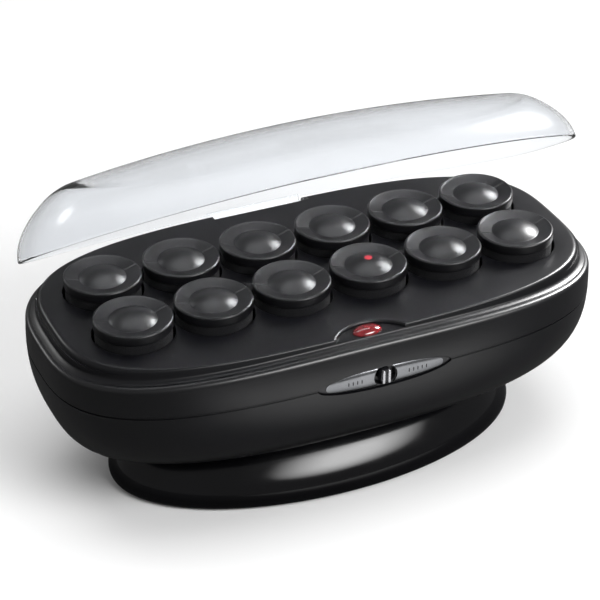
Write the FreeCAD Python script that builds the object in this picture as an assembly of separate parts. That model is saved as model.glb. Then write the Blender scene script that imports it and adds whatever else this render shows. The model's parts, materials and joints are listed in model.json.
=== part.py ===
"""Heated roller set: twelve flocked rollers on a heated plate, in an oval case with a clear hinged lid.

Millimetres, +Z up. The origin is the centre of the rubber feet's underside, +X runs along the
case and -Y points to the front, where the switch is. The lid is modelled part open.
"""
import FreeCAD, Part
import math
import os

VECTOR = FreeCAD.Vector
X_AXIS = VECTOR(1, 0, 0)
Y_AXIS = VECTOR(0, 1, 0)
Z_AXIS = VECTOR(0, 0, 1)

# Rollers, in two straight rows
ROLLER_COLUMNS = 6
PITCH_X = 41.0
ROW_SPACING = 42.2
ROLLER_R = 19.2
BARREL_R = 18.6
BORE_R = 6.8
ROLLER_TOP_Z = 110.0
ROLLER_LENGTH = 46.0
CAP_HEIGHT = 5.0
CAP_NECK_R = 17.9
DOME_R = 11.6
DOME_RISE = 3.8
RING_DROP = 1.6
BEVEL = 0.8
GROOVE_ANGLES = (8.0, 170.5)
READY_ROLLER = ("front", 4)

# Case outlines: half length, half depth and superellipse power
WAIST = (144.0, 76.2, 2.9)
BELLY_BOTTOM = (116.0, 44.0, 2.2)
WAIST_Z = 79.0
CASE_BOTTOM_Z = 35.0
BELLY_POWER = 2.2
SHOULDER_INSET = (1.6, 3.0, -0.2)
WALL = 2.5
SEAM_Z = 81.1
SEAM_DROP = 4.1
LEDGE_Z = 97.7
LEDGE_DROP = 5.7
LEDGE_HALF_LENGTH = 142.4
GROOVE_DEPTH = 0.5
GROOVE_HEIGHT = 0.8
HOUSING_BOSSES = ((127.0, 30.0), (62.0, 60.0))
HOUSING_BOSS_R = 4.2
HOUSING_SCREW_HEAD_Z = 65.0

# Deck
DECK_TOP_Z = 101.0
DECK_THICKNESS = 3.0
DECK_OUTLINE = (137.0, 67.4, 3.15)
DECK_WALL = 2.2
DECK_EDGE_R = 1.0
WELL_R = 20.0
WELL_CHAMFER = 0.35
FLANGE_OPENING = (128.0, 58.0, 3.0)
CRESCENT_R = 21.8
CRESCENT_Y = -79.0
CRESCENT_DEPTH = 1.8
DECK_SCREW_AT = (45.0, 62.5)
DECK_SCREW_RECESS = 1.0

# Indicator
LENS_Y = -62.9
LENS_HALF = (7.5, 4.4, 2.8)
LENS_STEM_R = 3.0
LAMP_R = 2.6
LAMP_Z = 87.2

# Hinge and lid
HINGE_Y = 70.8
HINGE_Z = 91.2
HINGE_HALF_WIDTH = 26.0
HINGE_GAP = 0.6
PIN_R = 1.25
PIN_CLEARANCE = 0.05
KNUCKLE_R = 3.0
POCKET_FRONT_Y = 63.0
POCKET_FLOOR_Z = 87.0
POCKET_WALL = 2.0
LID_OPEN_DEG = 33.7
LID_RIM = (142.6, 74.0, 3.0)
LID_WALL = 2.0
LID_GAP = 0.5
LID_CHORD_Z = 92.5
LID_TOP_Z = 131.5
LID_LEAN = 0.0246
LID_CROSS_R = 121.5
LID_LENGTH_R = 889.0

# Switch, on the seam at the front
SWITCH_X = 4.0
SWITCH_Z = 80.4
SURROUND_OVAL = (35.2, 5.8, 2.0)
SURROUND_GAP = 0.1
SPIGOT_OVAL = (24.0, 4.0, 2.0)
BEZEL_OVAL = (30.9, 4.7, 2.6)
KNOB_WELL_R = 6.15
KNOB_HALF = (2.6, 3.7)
KNOB_TRAVEL = 2.0
RIB_X = 1.45
RIB_HALF = 0.8
RIB_ROUND = 0.5
STEM_HALF = 1.5
SURROUND_FRONT_Y = -74.9
BEZEL_FRONT_Y = -75.9
KNOB_FRONT_Y = -77.3
KNOB_PLATE_Y = (-76.2, -72.0)
SWITCH_BODY_HALF = (10.0, 5.5)
SWITCH_BODY_Y = (-69.4, -58.0)
BLADE_PITCH = 6.0
BLADE_HALF = (1.4, 0.4)

# Heater
PLATE_TOP_Z = 63.8
PLATE_THICKNESS = 3.0
PLATE_HALF = (123.0, 41.0)
PLATE_CORNER_R = 19.0
POST_R = 6.0
POST_TOP_Z = 98.0
ELEMENT_R = 3.2
ELEMENT_Y = 17.0
ELEMENT_X = 95.0
PAD_Z = 49.0
PAD_THICKNESS = 1.5
PAD_HALF = (112.0, 40.0)
STANDOFF_X = 82.0
STANDOFF_Y = 33.0
CLAMP_X = (-60.0, 30.0)
CLAMP_HALF_WIDTH = 5.0
THERMOSTAT_X = -15.0
FUSE_X = 50.0

# Pedestal
PEDESTAL_BOTTOM_Z = 2.0
PEDESTAL_RINGS = (
    (2.0, 109.0, 56.8),
    (4.0, 109.9, 57.7),
    (8.0, 110.0, 57.8),
    (14.0, 107.6, 55.4),
    (22.0, 101.2, 49.2),
    (29.0, 93.4, 42.3),
    (35.0, 85.0, 36.0),
)
PEDESTAL_WALL = 2.6
BASE_PLATE_THICKNESS = 2.4
BOSS_AT = (46.0, 18.0)
BOSS_R = 5.0
RUBBER_FOOT_AT = (70.0, 28.0)
RUBBER_FOOT_R = 8.0

# Cord inlet, at the back
GLAND_X = 38.0
GLAND_Z = 57.0
GLAND_BORE_R = 3.7
GLAND_BARREL_R = 5.0
GLAND_FLANGE_R = 8.0
TERMINAL_HALF = 8.0
TERMINAL_Y = (43.5, 56.0)
TERMINAL_Z = 50.0

# Screws: shaft radius and clearance round it
SCREW_R = 1.4
SCREW_GAP = 0.1
SCREW_HEAD = (2.8, 1.6)

OUTLINE_POINTS = 24


def ellipse_wire(half_x, half_y, power, z):
    """Closed smooth superellipse |x/a|^n + |y/b|^n = 1 at height z."""
    points = []
    for step in range(OUTLINE_POINTS):
        turn = 2 * math.pi * step / OUTLINE_POINTS
        x = half_x * math.cos(turn)
        y = half_y * math.sin(turn)
        reach = (abs(x / half_x) ** power + abs(y / half_y) ** power) ** (-1 / power)
        points.append(VECTOR(x * reach, y * reach, z))
    curve = Part.BSplineCurve()
    curve.interpolate(points, PeriodicFlag=True)
    return Part.Wire(curve.toShape())


def loft(rings):
    """Smooth solid through rings of (z, half_x, half_y, power)."""
    return Part.makeLoft([ellipse_wire(a, b, n, z) for z, a, b, n in rings], True, False)


def prism(outline, z0, z1):
    """Straight solid on a superellipse outline."""
    face = Part.Face(ellipse_wire(*outline, z0))
    return face.extrude(VECTOR(0, 0, z1 - z0))


def box(x0, x1, y0, y1, z0, z1):
    return Part.makeBox(x1 - x0, y1 - y0, z1 - z0, VECTOR(x0, y0, z0))


def rod(radius, start, end):
    """Cylinder between two points."""
    axis = VECTOR(*end) - VECTOR(*start)
    return Part.makeCylinder(radius, axis.Length, VECTOR(*start), axis)


def tube(outer, inner, start, end):
    return rod(outer, start, end).cut(rod(inner, start, end))


def below_arch(z_middle, drop, half_length=LEDGE_HALF_LENGTH):
    """Everything under a surface that is z_middle high at x = 0 and falls by drop at the case's ends."""
    reach = 200.0
    radius = (half_length ** 2 + drop ** 2) / (2 * drop)
    z_end = z_middle - radius + math.sqrt(radius ** 2 - reach ** 2)
    left = VECTOR(-reach, -reach, z_end)
    right = VECTOR(reach, -reach, z_end)
    arc = Part.Arc(left, VECTOR(0, -reach, z_middle), right).toShape()
    low_left = VECTOR(-reach, -reach, -reach)
    low_right = VECTOR(reach, -reach, -reach)
    sides = [
        Part.makeLine(right, low_right),
        Part.makeLine(low_right, low_left),
        Part.makeLine(low_left, left),
    ]
    return Part.Face(Part.Wire([arc] + sides)).extrude(VECTOR(0, 2 * reach, 0))


def rounded_plate(half_x, half_y, corner, z0, z1):
    """Flat plate with round corners."""
    plate = box(-half_x, half_x, -half_y, half_y, z0, z1)
    upright = [e for e in plate.Edges if abs(e.tangentAt(e.FirstParameter).z) > 0.9]
    return plate.makeFillet(corner, upright)


def mirrored(x, y):
    """The four places (+-x, +-y)."""
    return [(sx * x, sy * y) for sx in (-1, 1) for sy in (-1, 1)]


def screw(x, y, z_head, z_tip):
    """Pan-head screw; the head's flat is at z_head and the tip at z_tip, above or below it."""
    way = 1 if z_tip > z_head else -1
    head_r, head_h = SCREW_HEAD
    head = rod(head_r, (x, y, z_head), (x, y, z_head - way * head_h))
    return head.fuse(rod(SCREW_R, (x, y, z_head), (x, y, z_tip)))


def screw_hole(x, y, z0, z1):
    return rod(SCREW_R + SCREW_GAP, (x, y, z0), (x, y, z1))


def roller_places():
    """(row, column number, x, y) of every roller."""
    places = []
    for row, side in (("front", -1), ("back", 1)):
        for column in range(ROLLER_COLUMNS):
            x = (column - (ROLLER_COLUMNS - 1) / 2) * PITCH_X
            places.append((row, column + 1, x, side * ROW_SPACING / 2))
    return places


# ---------------------------------------------------------------- case

def case_rings(inset):
    """Rings of the case's outside, or of a form set in from it."""
    rings = []
    steps = 5
    for step in range(steps, -1, -1):
        angle = math.pi / 2 * step / steps
        out = math.cos(angle) ** (2 / BELLY_POWER) if step < steps else 0.0
        down = math.sin(angle) ** (2 / BELLY_POWER)
        half_x, half_y, power = (low + (high - low) * out for low, high in zip(BELLY_BOTTOM, WAIST))
        z = WAIST_Z + (CASE_BOTTOM_Z + inset - WAIST_Z) * down
        rings.append((z, half_x - inset, half_y - inset, power))
    for rise in (0.6, 1.2):
        half_x, half_y, power = (w - s * rise ** 2 for w, s in zip(WAIST, SHOULDER_INSET))
        z = WAIST_Z + (LEDGE_Z - WAIST_Z) * rise
        rings.append((z, half_x - inset, half_y - inset, power))
    return rings


def case_shell():
    """Hollow case with a flat-topped flange, before it is split at the seam."""
    outside = loft(case_rings(0.0)).common(below_arch(LEDGE_Z, LEDGE_DROP))
    inside = loft(case_rings(WALL)).common(below_arch(LEDGE_Z - WALL, LEDGE_DROP))
    shell = outside.cut(inside)
    return outside, shell.cut(prism(FLANGE_OPENING, WAIST_Z, DECK_TOP_Z))


def oval_prism(half_x, half_z, power, y0, y1):
    """Superellipse outline run along Y, centred on the switch."""
    wire = ellipse_wire(half_x, half_z, power, 0.0)
    wire.rotate(VECTOR(0, 0, 0), X_AXIS, 90)
    wire.translate(VECTOR(SWITCH_X, y0, SWITCH_Z))
    return Part.Face(wire).extrude(VECTOR(0, y1 - y0, 0))


def case_boss_places():
    return [place for at in HOUSING_BOSSES for place in mirrored(*at)]


def hinge_pocket():
    reach = HINGE_HALF_WIDTH + HINGE_GAP
    return box(-reach, reach, POCKET_FRONT_Y, 90.0, POCKET_FLOOR_Z, 110.0)


def upper_housing(outside, shell):
    body = shell.cut(below_arch(SEAM_Z, SEAM_DROP))
    above_seam = outside.cut(below_arch(SEAM_Z, SEAM_DROP))
    reach = HINGE_HALF_WIDTH + HINGE_GAP + POCKET_WALL
    block = box(-reach, reach, POCKET_FRONT_Y - POCKET_WALL, 90.0, POCKET_FLOOR_Z - POCKET_WALL, 98.0)
    body = body.fuse(block.common(above_seam))
    for x, y in case_boss_places():
        boss = rod(HOUSING_BOSS_R, (x, y, SEAM_Z - 5.0), (x, y, LEDGE_Z - WALL))
        body = body.fuse(boss.common(above_seam))
    body = body.cut(hinge_pocket())
    body = body.cut(rod(PIN_R + 0.02, (-reach - 5, HINGE_Y, HINGE_Z), (reach + 5, HINGE_Y, HINGE_Z)))
    body = body.cut(oval_prism(*SURROUND_OVAL, -90.0, -60.0))
    for x, y in case_boss_places():
        body = body.cut(screw_hole(x, y, WAIST_Z - 5.0, 90.0))
    for x, y in deck_screw_places():
        body = body.cut(screw_hole(x, y, 88.0, 99.0))
    return body.cut(rod(LENS_STEM_R + 0.3, (0, LENS_Y, 88.0), (0, LENS_Y, 99.0)))


def lower_housing(outside, shell):
    body = shell.common(below_arch(SEAM_Z, SEAM_DROP))
    inside_case = outside.common(below_arch(SEAM_Z, SEAM_DROP))
    for x, y in case_boss_places():
        boss = rod(HOUSING_BOSS_R, (x, y, CASE_BOTTOM_Z), (x, y, SEAM_Z))
        body = body.fuse(boss.common(inside_case))
    shelf = box(GLAND_X - TERMINAL_HALF, GLAND_X + TERMINAL_HALF, *TERMINAL_Y, CASE_BOTTOM_Z, TERMINAL_Z)
    body = body.fuse(shelf.common(inside_case))
    groove = below_arch(SEAM_Z, SEAM_DROP).cut(below_arch(SEAM_Z - GROOVE_HEIGHT, SEAM_DROP))
    groove = groove.cut(loft(case_rings(GROOVE_DEPTH)))
    body = body.cut(groove)
    body = body.cut(oval_prism(*SURROUND_OVAL, -90.0, -60.0))
    for x, y in case_boss_places():
        body = body.cut(screw_hole(x, y, CASE_BOTTOM_Z - 5, SEAM_Z + 1))
        body = body.cut(rod(SCREW_HEAD[0] + 0.3, (x, y, CASE_BOTTOM_Z - 5), (x, y, HOUSING_SCREW_HEAD_Z)))
    for x, y in mirrored(*BOSS_AT):
        body = body.cut(screw_hole(x, y, CASE_BOTTOM_Z - 1, CASE_BOTTOM_Z + WALL + 1))
    return body.cut(rod(GLAND_BARREL_R + 0.2, (GLAND_X, 50.0, GLAND_Z), (GLAND_X, 90.0, GLAND_Z)))


def housing_screws():
    return Part.makeCompound([screw(x, y, HOUSING_SCREW_HEAD_Z, 87.0) for x, y in case_boss_places()])


# ---------------------------------------------------------------- deck

def deck_screw_places():
    return mirrored(*DECK_SCREW_AT)


def roller_deck():
    half_x, half_y, power = DECK_OUTLINE
    body = prism(DECK_OUTLINE, LEDGE_Z - 10, DECK_TOP_Z)
    rim = [e for e in body.Edges if e.BoundBox.ZMin > DECK_TOP_Z - 0.1]
    body = body.makeFillet(DECK_EDGE_R, rim)
    inner = (half_x - DECK_WALL, half_y - DECK_WALL, power)
    body = body.cut(prism(inner, LEDGE_Z - 12, DECK_TOP_Z - DECK_THICKNESS))
    body = body.cut(below_arch(LEDGE_Z, LEDGE_DROP))
    for _row, _number, x, y in roller_places():
        body = body.cut(rod(WELL_R, (x, y, 80.0), (x, y, 120.0)))
        lip_at = VECTOR(x, y, DECK_TOP_Z - WELL_CHAMFER)
        body = body.cut(Part.makeCone(WELL_R, WELL_R + WELL_CHAMFER, WELL_CHAMFER, lip_at))
    floor_z = DECK_TOP_Z - CRESCENT_DEPTH
    body = body.cut(rod(CRESCENT_R, (0, CRESCENT_Y, floor_z), (0, CRESCENT_Y, 120.0)))
    body = body.cut(rod(LENS_STEM_R + 0.1, (0, LENS_Y, 90.0), (0, LENS_Y, 110.0)))
    for x, y in deck_screw_places():
        body = body.cut(screw_hole(x, y, 90.0, DECK_TOP_Z - 0.8))
    return body.cut(hinge_pocket())


def deck_screws():
    heads = []
    for x, y in deck_screw_places():
        heads.append(screw(x, y, LEDGE_Z - WALL - 0.7, DECK_TOP_Z - DECK_SCREW_RECESS))
    return Part.makeCompound(heads)


def indicator_lens():
    """Oval jewel on a round light pipe."""
    ball = Part.makeSphere(1.0)
    stretch = FreeCAD.Matrix()
    stretch.scale(*LENS_HALF)
    jewel = ball.transformGeometry(stretch)
    floor_z = DECK_TOP_Z - CRESCENT_DEPTH
    jewel.translate(VECTOR(0, LENS_Y, floor_z))
    jewel = jewel.common(box(-20, 20, LENS_Y - 20, LENS_Y + 20, floor_z, floor_z + 20))
    stem = rod(LENS_STEM_R, (0, LENS_Y, 95.5), (0, LENS_Y, floor_z + 0.5))
    return jewel.fuse(stem)


def indicator_lamp():
    """Neon capsule in its moulded holder."""
    glass = rod(LAMP_R, (0, LENS_Y, LAMP_Z), (0, LENS_Y, LAMP_Z + 5.0))
    tip = Part.makeSphere(LAMP_R, VECTOR(0, LENS_Y, LAMP_Z + 5.0))
    holder = tube(4.0, LAMP_R, (0, LENS_Y, LAMP_Z - 0.8), (0, LENS_Y, LAMP_Z + 2.4))
    return glass.fuse(tip).fuse(holder)


# ---------------------------------------------------------------- switch

def switch_surround():
    """Black carrier that fills the slot in the case, with a round well for the knob."""
    half_x, half_z, power = SURROUND_OVAL
    body = oval_prism(half_x - SURROUND_GAP, half_z - SURROUND_GAP, power, SURROUND_FRONT_Y, -71.5)
    body = body.fuse(oval_prism(*SPIGOT_OVAL, -71.6, -69.6))
    slot_x = KNOB_HALF[0] + KNOB_TRAVEL + 0.4
    slot_z = KNOB_HALF[1] + 0.3
    return body.cut(box(SWITCH_X - slot_x, SWITCH_X + slot_x, -80, -60, SWITCH_Z - slot_z, SWITCH_Z + slot_z))


def switch_bezel():
    """Two bright wings, left and right of the knob's well."""
    plate = oval_prism(*BEZEL_OVAL, BEZEL_FRONT_Y, SURROUND_FRONT_Y)
    return plate.cut(rod(KNOB_WELL_R, (SWITCH_X, -80, SWITCH_Z), (SWITCH_X, -70, SWITCH_Z)))


def switch_knob():
    """Slider with two upright finger ribs and a stem into the switch."""
    half_x, half_z = KNOB_HALF
    plate = box(SWITCH_X - half_x, SWITCH_X + half_x, *KNOB_PLATE_Y, SWITCH_Z - half_z, SWITCH_Z + half_z)
    for side in (-1, 1):
        x = SWITCH_X + side * RIB_X
        rib = box(x - RIB_HALF, x + RIB_HALF, KNOB_FRONT_Y, -76.0, SWITCH_Z - half_z, SWITCH_Z + half_z)
        front = [e for e in rib.Edges if e.BoundBox.YMax < KNOB_FRONT_Y + 0.01]
        plate = plate.fuse(rib.makeFillet(RIB_ROUND, front))
    low, high = SWITCH_X - STEM_HALF, SWITCH_X + STEM_HALF
    return plate.fuse(box(low, high, -72.5, -65.0, SWITCH_Z - STEM_HALF, SWITCH_Z + STEM_HALF))


def switch_body():
    """Slide switch behind the carrier, with three blade terminals."""
    half_x, half_z = SWITCH_BODY_HALF
    body = box(SWITCH_X - half_x, SWITCH_X + half_x, *SWITCH_BODY_Y, SWITCH_Z - half_z, SWITCH_Z + half_z)
    reach = STEM_HALF + KNOB_TRAVEL + 0.5
    body = body.cut(box(SWITCH_X - reach, SWITCH_X + reach, -70, -64.0, SWITCH_Z - 2, SWITCH_Z + 2))
    blade_x, blade_z = BLADE_HALF
    for place in (-1, 0, 1):
        x = SWITCH_X + place * BLADE_PITCH
        body = body.fuse(box(x - blade_x, x + blade_x, -58.5, -51.5, SWITCH_Z - blade_z, SWITCH_Z + blade_z))
    return body


# ---------------------------------------------------------------- heater

def heater_plate():
    body = rounded_plate(*PLATE_HALF, PLATE_CORNER_R, PLATE_TOP_Z - PLATE_THICKNESS, PLATE_TOP_Z)
    for x, y in standoff_places():
        body = body.cut(screw_hole(x, y, 55.0, 70.0))
    return body


def heating_posts():
    """One hollow aluminium post for each roller, round-shouldered at the top."""
    posts = []
    for _row, _number, x, y in roller_places():
        post = rod(POST_R, (x, y, PLATE_TOP_Z), (x, y, POST_TOP_Z))
        top = [e for e in post.Edges if e.BoundBox.ZMin > POST_TOP_Z - 0.1]
        post = post.makeFillet(2.0, top)
        posts.append(post.cut(rod(POST_R - 2.0, (x, y, PLATE_TOP_Z - 1), (x, y, POST_TOP_Z - 4.0))))
    return Part.makeCompound(posts)


def heating_element():
    """Sheathed U-shaped element clamped under the plate."""
    z = PLATE_TOP_Z - PLATE_THICKNESS - ELEMENT_R - 0.05
    start = VECTOR(-ELEMENT_X, -ELEMENT_Y, z)
    first_bend = VECTOR(ELEMENT_X - ELEMENT_Y, -ELEMENT_Y, z)
    middle = VECTOR(ELEMENT_X, 0, z)
    last_bend = VECTOR(ELEMENT_X - ELEMENT_Y, ELEMENT_Y, z)
    end = VECTOR(-ELEMENT_X, ELEMENT_Y, z)
    arc = Part.Arc(first_bend, middle, last_bend).toShape()
    path = Part.Wire([Part.makeLine(start, first_bend), arc, Part.makeLine(last_bend, end)])
    section = Part.Wire(Part.makeCircle(ELEMENT_R, start, X_AXIS))
    body = path.makePipeShell([section], True, False)
    for y in (-ELEMENT_Y, ELEMENT_Y):
        body = body.fuse(rod(1.2, (-ELEMENT_X - 7, y, z), (-ELEMENT_X + 1, y, z)))
    return body


def element_clamps():
    """Steel straps across both legs of the element."""
    z = PLATE_TOP_Z - PLATE_THICKNESS
    gap = ELEMENT_R + 0.1
    low = z - 2 * gap - 1.0
    clamps = []
    half = CLAMP_HALF_WIDTH
    for x in CLAMP_X:
        strap = box(x - half, x + half, -ELEMENT_Y - 7, ELEMENT_Y + 7, low, z)
        inner = box(x - 6, x + 6, -ELEMENT_Y + gap + 1, ELEMENT_Y - gap - 1, low + 1.0, z + 1)
        strap = strap.cut(inner)
        for y in (-ELEMENT_Y, ELEMENT_Y):
            strap = strap.cut(rod(gap, (x - 6, y, z - ELEMENT_R - 0.05), (x + 6, y, z - ELEMENT_R - 0.05)))
            strap = strap.cut(box(x - 6, x + 6, y - gap, y + gap, z - ELEMENT_R - 0.05, z + 1))
        clamps.append(strap)
    return Part.makeCompound(clamps)


def thermostat():
    z = PLATE_TOP_Z - PLATE_THICKNESS
    x = THERMOSTAT_X
    disc = rod(8.0, (x, 0, z - 5.5), (x, 0, z))
    body = disc.fuse(rod(6.0, (x, 0, z - 9.0), (x, 0, z - 5.4)))
    for y in (-3.5, 3.5):
        body = body.fuse(box(x - 1.5, x + 1.5, y - 0.4, y + 0.4, z - 9.5, z - 8.9))
    return body


def thermal_fuse():
    z = PLATE_TOP_Z - PLATE_THICKNESS - 2.2
    body = rod(2.0, (FUSE_X - 6, 0, z), (FUSE_X + 6, 0, z))
    return body.fuse(rod(0.5, (FUSE_X - 12, 0, z), (FUSE_X + 12, 0, z)))


def standoff_places():
    return [(-STANDOFF_X, 0), (STANDOFF_X, 0), (0, -STANDOFF_Y), (0, STANDOFF_Y)]


def heater_standoffs():
    """Stepped posts that carry the insulation pad and then the heater plate."""
    posts = []
    for x, y in standoff_places():
        body = rod(6.0, (x, y, CASE_BOTTOM_Z + WALL), (x, y, PAD_Z))
        body = body.fuse(rod(4.2, (x, y, PAD_Z - 1), (x, y, PLATE_TOP_Z - PLATE_THICKNESS)))
        posts.append(body.cut(screw_hole(x, y, PAD_Z - 4, PLATE_TOP_Z)))
    return Part.makeCompound(posts)


def heater_screws():
    return Part.makeCompound([screw(x, y, PLATE_TOP_Z, PAD_Z - 2) for x, y in standoff_places()])


def insulation_pad():
    body = rounded_plate(*PAD_HALF, 12.0, PAD_Z, PAD_Z + PAD_THICKNESS)
    for x, y in standoff_places():
        body = body.cut(rod(4.4, (x, y, PAD_Z - 1), (x, y, PAD_Z + 5)))
    return body


# ---------------------------------------------------------------- pedestal

def pedestal_form(inset):
    wires = []
    for z, half_x, half_y in PEDESTAL_RINGS:
        ring = Part.Ellipse(VECTOR(0, 0, z), half_x - inset, half_y - inset)
        wires.append(Part.Wire(ring.toShape()))
    return Part.makeLoft(wires, True, False)


def pedestal():
    outside = pedestal_form(0.0)
    top_z = CASE_BOTTOM_Z - PEDESTAL_WALL
    inside = pedestal_form(PEDESTAL_WALL).common(box(-150, 150, -90, 90, -5, top_z))
    body = outside.cut(inside)
    floor_z = PEDESTAL_BOTTOM_Z + BASE_PLATE_THICKNESS
    for x, y in mirrored(*BOSS_AT):
        body = body.fuse(rod(BOSS_R, (x, y, floor_z), (x, y, top_z + 0.5)))
    for x, y in mirrored(*BOSS_AT):
        body = body.cut(screw_hole(x, y, 0, 50))
    return body


def base_plate():
    z0 = PEDESTAL_BOTTOM_Z
    z1 = z0 + BASE_PLATE_THICKNESS
    lip = 0.3
    half_x, half_y = (half - PEDESTAL_WALL - lip for half in PEDESTAL_RINGS[0][1:])
    rim = Part.Ellipse(VECTOR(0, 0, z0), half_x, half_y)
    body = Part.Face(Part.Wire(rim.toShape())).extrude(VECTOR(0, 0, z1 - z0))
    for x, y in mirrored(*BOSS_AT):
        body = body.cut(screw_hole(x, y, 0, 10))
        body = body.cut(rod(SCREW_HEAD[0] + 0.2, (x, y, 0), (x, y, z0 + 1.2)))
    for x, y in mirrored(*RUBBER_FOOT_AT):
        body = body.cut(rod(3.1, (x, y, 0), (x, y, 10)))
    return body


def rubber_feet():
    """Four pads, each with a snap-in stem."""
    feet = []
    for x, y in mirrored(*RUBBER_FOOT_AT):
        pad = rod(RUBBER_FOOT_R, (x, y, 0), (x, y, PEDESTAL_BOTTOM_Z))
        low = [e for e in pad.Edges if e.BoundBox.ZMax < 0.1]
        pad = pad.makeFillet(0.6, low)
        stem = rod(3.0, (x, y, 1.0), (x, y, PEDESTAL_BOTTOM_Z + BASE_PLATE_THICKNESS + 1.6))
        feet.append(pad.fuse(stem))
    return Part.makeCompound(feet)


def base_screws():
    head_z = PEDESTAL_BOTTOM_Z + 1.2 + SCREW_GAP
    head_r = SCREW_HEAD[0]
    screws = []
    for x, y in mirrored(*BOSS_AT):
        head = rod(head_r, (x, y, PEDESTAL_BOTTOM_Z + 0.1), (x, y, PEDESTAL_BOTTOM_Z + 1.2))
        screws.append(head.fuse(rod(SCREW_R, (x, y, head_z - 0.5), (x, y, 14.0))))
    return Part.makeCompound(screws)


def pedestal_screws():
    head_z = CASE_BOTTOM_Z + WALL
    return Part.makeCompound([screw(x, y, head_z, 20.0) for x, y in mirrored(*BOSS_AT)])


# ---------------------------------------------------------------- cord inlet

def case_back_y(x, z):
    """Depth of the case's outside at the cord inlet, from the belly's formula."""
    down = (WAIST_Z - z) / (WAIST_Z - CASE_BOTTOM_Z)
    out = (1 - down ** BELLY_POWER) ** (1 / BELLY_POWER)
    half_x, half_y, power = (low + (high - low) * out for low, high in zip(BELLY_BOTTOM, WAIST))
    return half_y * (1 - (x / half_x) ** power) ** (1 / power)


def cord_gland(case):
    """Grommet with an outer flange that sits on the case; the cord's hole runs through it."""
    y_wall = case_back_y(GLAND_X, GLAND_Z)
    at = (GLAND_X, GLAND_Z)
    body = rod(GLAND_BARREL_R, (at[0], y_wall - 6.0, at[1]), (at[0], y_wall + 2.0, at[1]))
    flange = rod(GLAND_FLANGE_R, (at[0], y_wall - 4.5, at[1]), (at[0], y_wall + 2.0, at[1]))
    outer = [e for e in flange.Edges if e.BoundBox.YMin > y_wall + 1.9]
    flange = flange.makeFillet(1.0, outer).cut(case)
    body = body.fuse(flange)
    return body.cut(rod(GLAND_BORE_R, (at[0], y_wall - 10, at[1]), (at[0], y_wall + 10, at[1])))


def terminal_block():
    """Mains terminals and cord clamp on a shelf just inside the inlet."""
    x = GLAND_X
    y_front, y_back = TERMINAL_Y
    body = box(x - TERMINAL_HALF, x + TERMINAL_HALF, y_front, y_back - 4, TERMINAL_Z, TERMINAL_Z + 9.0)
    for offset in (-4.0, 4.0):
        z = TERMINAL_Z + 5.0
        body = body.cut(rod(1.8, (x + offset, y_front - 1, z), (x + offset, y_back, z)))
    clamp = box(x - TERMINAL_HALF, x + TERMINAL_HALF, y_back - 4.5, y_back, TERMINAL_Z, TERMINAL_Z + 2.0)
    return body.fuse(clamp)


# ---------------------------------------------------------------- lid

def lid_form(inset):
    """Leaning wall under a barrel-shaped top; a smaller copy of it hollows the lid."""
    half_x, half_y, power = LID_RIM
    rings = [(LID_CHORD_Z - 12.0, half_x - inset, half_y - inset, power)]
    for rise in (0.0, 10.0, 20.0, 30.0, 40.0):
        lean = LID_LEAN * rise ** 2 + inset
        rings.append((LID_CHORD_Z + rise, half_x - lean, half_y - lean, power))
    wall = loft(rings)
    tube_r = LID_CROSS_R - inset
    barrel = Part.makeTorus(LID_LENGTH_R - LID_CROSS_R, tube_r, VECTOR(0, 0, 0), Y_AXIS)
    barrel.translate(VECTOR(0, 0, LID_TOP_Z - LID_LENGTH_R))
    return wall.common(barrel)


def clear_lid():
    """Clear lid closed on the ledge, with its hinge tongue and knuckle, then swung open."""
    body = lid_form(0.0).cut(lid_form(LID_WALL))
    body = body.cut(below_arch(LEDGE_Z + LID_GAP, LEDGE_DROP))
    half = HINGE_HALF_WIDTH
    tongue = box(-half, half, HINGE_Y + 0.2, HINGE_Y + 2.2, HINGE_Z, LEDGE_Z + 2.0)
    knuckle = rod(KNUCKLE_R, (-half, HINGE_Y, HINGE_Z), (half, HINGE_Y, HINGE_Z))
    body = body.fuse(tongue).fuse(knuckle)
    bore_r = PIN_R + PIN_CLEARANCE
    body = body.cut(rod(bore_r, (-half - 1, HINGE_Y, HINGE_Z), (half + 1, HINGE_Y, HINGE_Z)))
    body.rotate(VECTOR(0, HINGE_Y, HINGE_Z), X_AXIS, -LID_OPEN_DEG)
    return body


def hinge_pin():
    reach = HINGE_HALF_WIDTH + HINGE_GAP + POCKET_WALL
    return rod(PIN_R, (-reach, HINGE_Y, HINGE_Z), (reach, HINGE_Y, HINGE_Z))


# ---------------------------------------------------------------- rollers

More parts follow.
